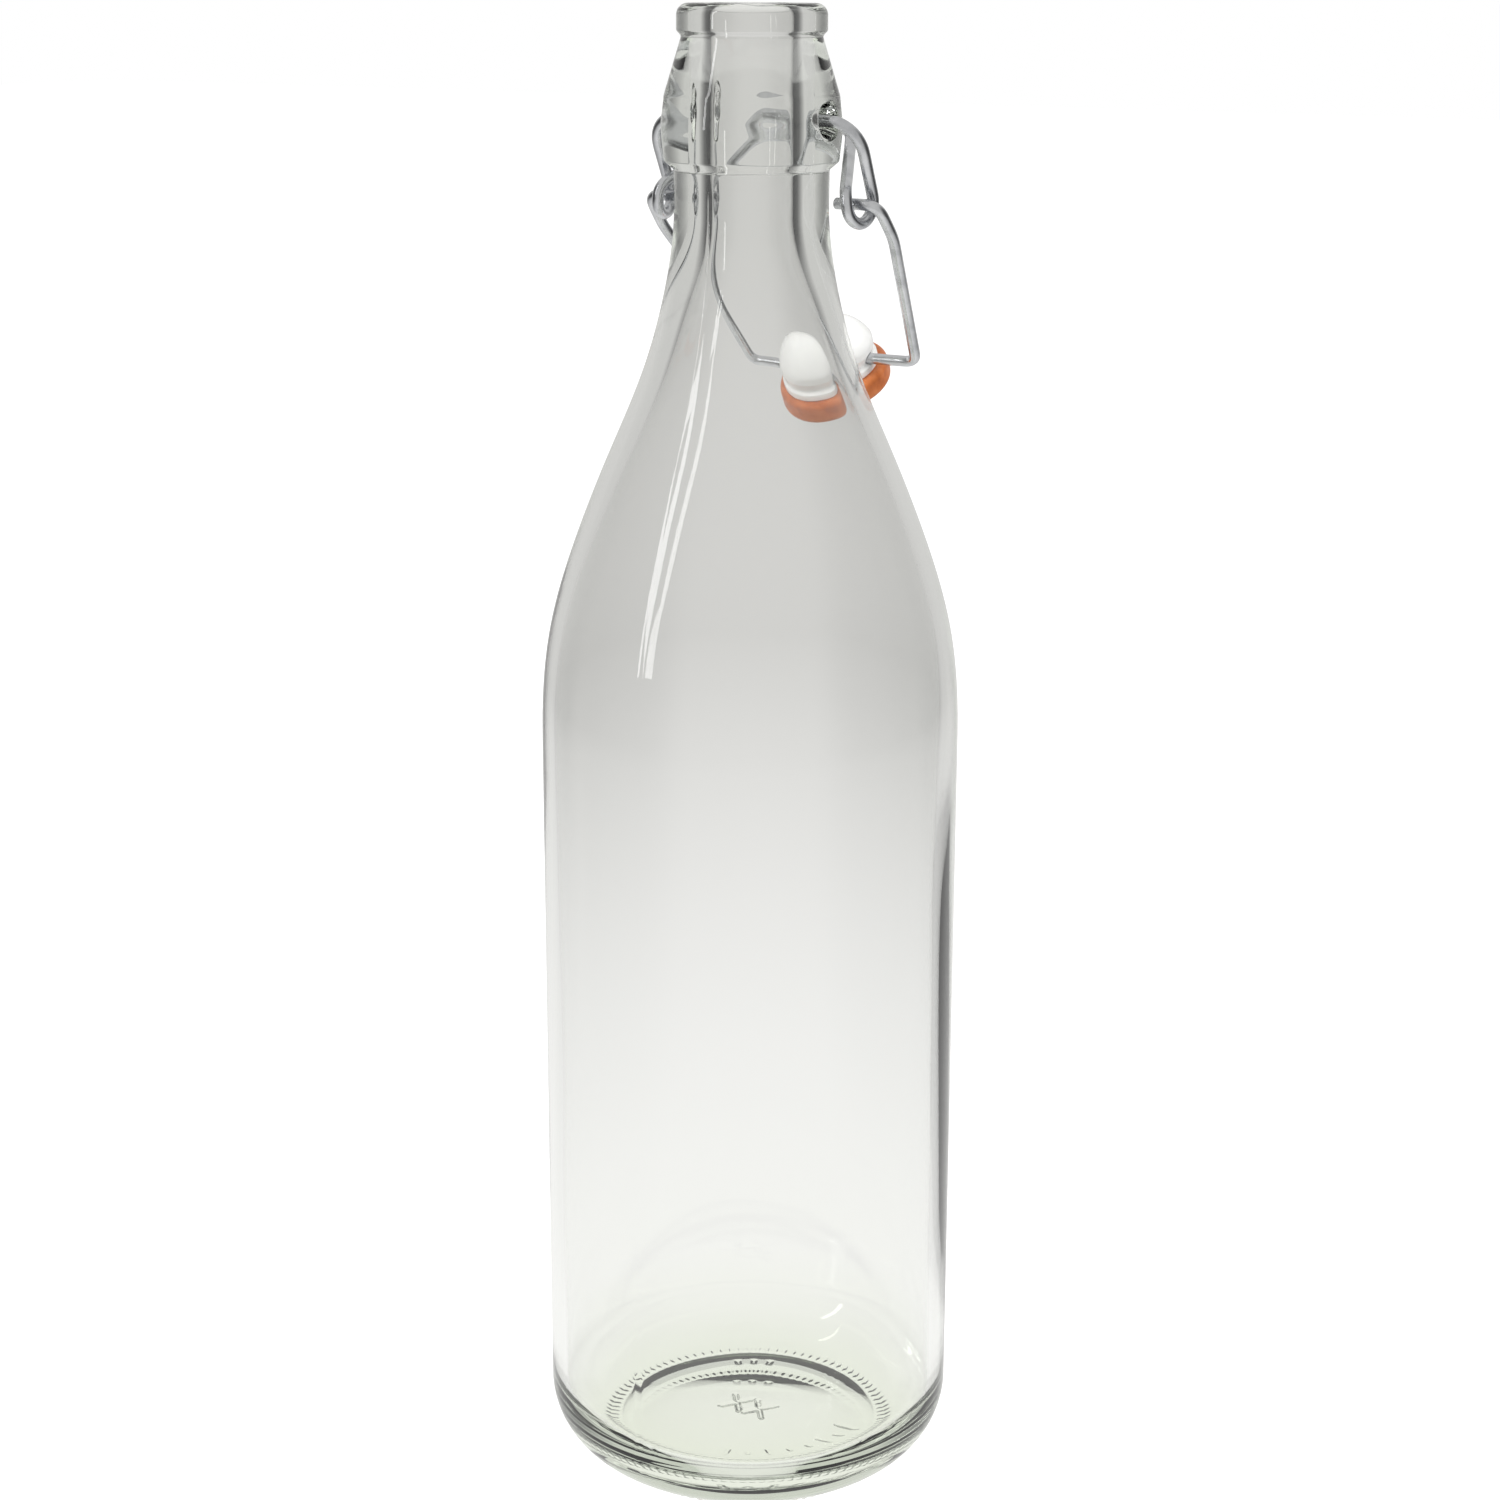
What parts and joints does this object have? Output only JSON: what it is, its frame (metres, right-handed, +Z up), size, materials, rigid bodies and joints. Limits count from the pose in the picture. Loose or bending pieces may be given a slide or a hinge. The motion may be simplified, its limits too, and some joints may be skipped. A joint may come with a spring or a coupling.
{
  "type": "growler",
  "caption": "Tall round clear glass bottle with a hinged wire swing-top closure, white stopper and rubber gasket, shown open.",
  "frame": {"origin": "centre of the bottle's base, on the table", "axes": "+Z up along the bottle's axis, X through the two dimples that hold the closure, +Y towards the side where the open closure hangs"},
  "size_m": [0.086, 0.0885, 0.307],
  "materials": {
    "clear_glass": "clear flint glass with a faint green cast in the thick base",
    "zinc_wire": "zinc plated drawn steel wire",
    "white_stopper": "glossy white moulded stopper",
    "orange_rubber": "matte orange-red rubber"
  },
  "bodies": {
    "bottle": {"bottle": "clear_glass"},
    "lever": {"lever_wire": "zinc_wire"},
    "bail": {"bail_wire": "zinc_wire"},
    "stopper": {"stopper": "white_stopper", "gasket": "orange_rubber"}
  },
  "joints": [
    {"name": "lever_pivot", "type": "hinge", "parent": "bottle", "child": "lever", "pos_m": [0, 0, 0.285], "axis": [1, 0, 0], "range_deg": [0, 42]},
    {"name": "bail_pivot", "type": "hinge", "parent": "lever", "child": "bail", "pos_m": [0, 0.0033, 0.2691], "axis": [1, 0, 0], "range_deg": [0, 100]},
    {"name": "stopper_swivel", "type": "hinge", "parent": "bail", "child": "stopper", "pos_m": [0, 0.033, 0.235], "axis": [1, 0, 0], "range_deg": [-2, 150]}
  ]
}
